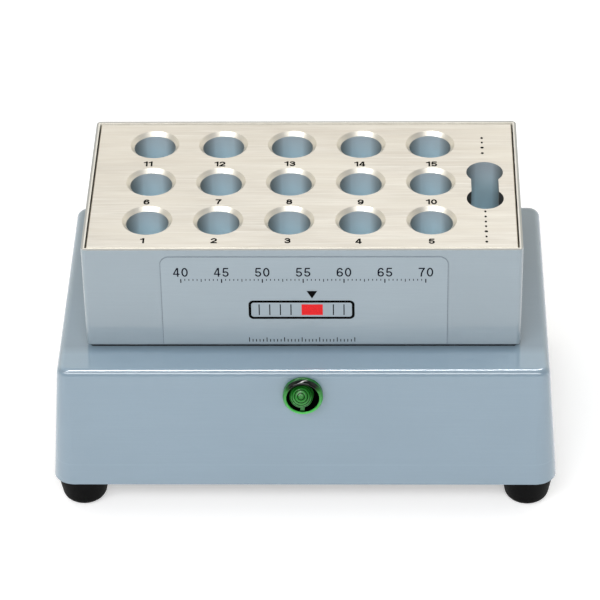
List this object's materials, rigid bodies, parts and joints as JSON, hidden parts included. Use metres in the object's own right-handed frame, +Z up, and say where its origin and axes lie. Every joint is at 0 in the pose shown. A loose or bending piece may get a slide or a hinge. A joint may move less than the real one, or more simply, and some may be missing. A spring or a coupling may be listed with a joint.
{
  "type": "dry bath incubator",
  "caption": "Small dry block incubator: drafted base on rubber feet, sheet housing with a block of numbered vial wells and a side slot, pilot lamp in front.",
  "frame": {"origin": "on the surface the feet stand on, under the middle of the base", "axes": "+Z up, -Y the front with the pilot lamp, +X to the right as seen from the front"},
  "size_m": [0.1446, 0.092, 0.0824],
  "materials": {
    "cover_paint": "blue-grey paint with a slight orange peel, semi-gloss",
    "housing_paint": "blue-grey paint on folded sheet, semi-gloss",
    "black_paint": "black, satin",
    "gasket_foam": "closed-cell foam, matt",
    "block_aluminium": "brushed along the width, machined wells",
    "label_film": "thin printed film",
    "plate_foil": "blank foil plate, satin",
    "green_lens": "clear green plastic with ringed dome",
    "black_nylon": "moulded, matt",
    "drawer_nylon": "moulded, matt",
    "spring_steel": "bright",
    "lamp_bulb": "clear epoxy",
    "ceramic_felt": "fibre felt",
    "ceramic": "unglazed ceramic",
    "silicone": "orange silicone with woven face",
    "plain_aluminium": "mill finish",
    "plated_steel": "zinc plated",
    "brass": "turned",
    "bimetal": "rolled strip",
    "phenolic": "phenolic body",
    "nickel_pins": "nickel plated",
    "fuse_glass": "glass with plated caps",
    "rocker_plastic": "black, glossy",
    "terminal_nylon": "natural nylon",
    "tinned_copper": "tinned",
    "wire_brown": "PVC",
    "wire_blue": "PVC",
    "wire_green": "PVC, green with a yellow stripe",
    "wire_grey": "PVC",
    "wire_white": "silicone",
    "foot_rubber": "moulded rubber, matt"
  },
  "bodies": {
    "incubator": {"base_cover": "cover_paint", "base_plate": "black_paint", "block_housing": "housing_paint", "block_screws": "plated_steel", "block_spacers": "ceramic", "earth_lug": "tinned_copper", "earth_nuts": "brass", "earth_screw": "plated_steel", "foot_front_left": "foot_rubber", "foot_front_right": "foot_rubber", "foot_rear_left": "foot_rubber", "foot_rear_right": "foot_rubber", "foot_screws": "plated_steel", "front_label": "label_film", "heater_clamp_plate": "plain_aluminium", "heater_mat": "silicone", "heating_block": "block_aluminium", "housing_gasket": "gasket_foam", "inlet_body": "black_nylon", "inlet_nuts": "plated_steel", "inlet_pins": "nickel_pins", "inlet_screws": "plated_steel", "insulation_pad": "ceramic_felt", "insulation_wrap": "ceramic_felt", "pilot_body": "black_nylon", "pilot_bulb": "lamp_bulb", "pilot_clip": "spring_steel", "pilot_lens": "green_lens", "rating_plate": "plate_foil", "sensor_screws": "plated_steel", "switch_body": "black_nylon", "terminal_block": "terminal_nylon", "terminal_screws": "brass", "thermal_cutout": "phenolic", "thermostat_blade": "bimetal", "thermostat_frame": "plated_steel", "thermostat_stack": "ceramic", "wire_earth": "wire_green", "wire_heater": "wire_white", "wire_lamp": "wire_grey", "wire_live": "wire_brown", "wire_neutral": "wire_blue"},
    "rocker": {"switch_rocker": "rocker_plastic"},
    "drawer": {"fuse_drawer": "drawer_nylon", "fuse_link": "fuse_glass"},
    "spindle": {"thermostat_spindle": "brass"}
  },
  "joints": [
    {"name": "switch_rock", "type": "hinge", "parent": "incubator", "child": "rocker", "pos_m": [0.014, 0.04042, 0.02822], "axis": [1, 0, 0], "range_deg": [0, 22]},
    {"name": "drawer_slide", "type": "slide", "parent": "incubator", "child": "drawer", "axis": [0, 0.9972, 0.0752], "range_m": [0, 0.016]},
    {"name": "spindle_turn", "type": "hinge", "parent": "incubator", "child": "spindle", "pos_m": [-0.02, 0.0027, 0.03], "axis": [0, 0, 1], "range_deg": [-135, 135]}
  ]
}
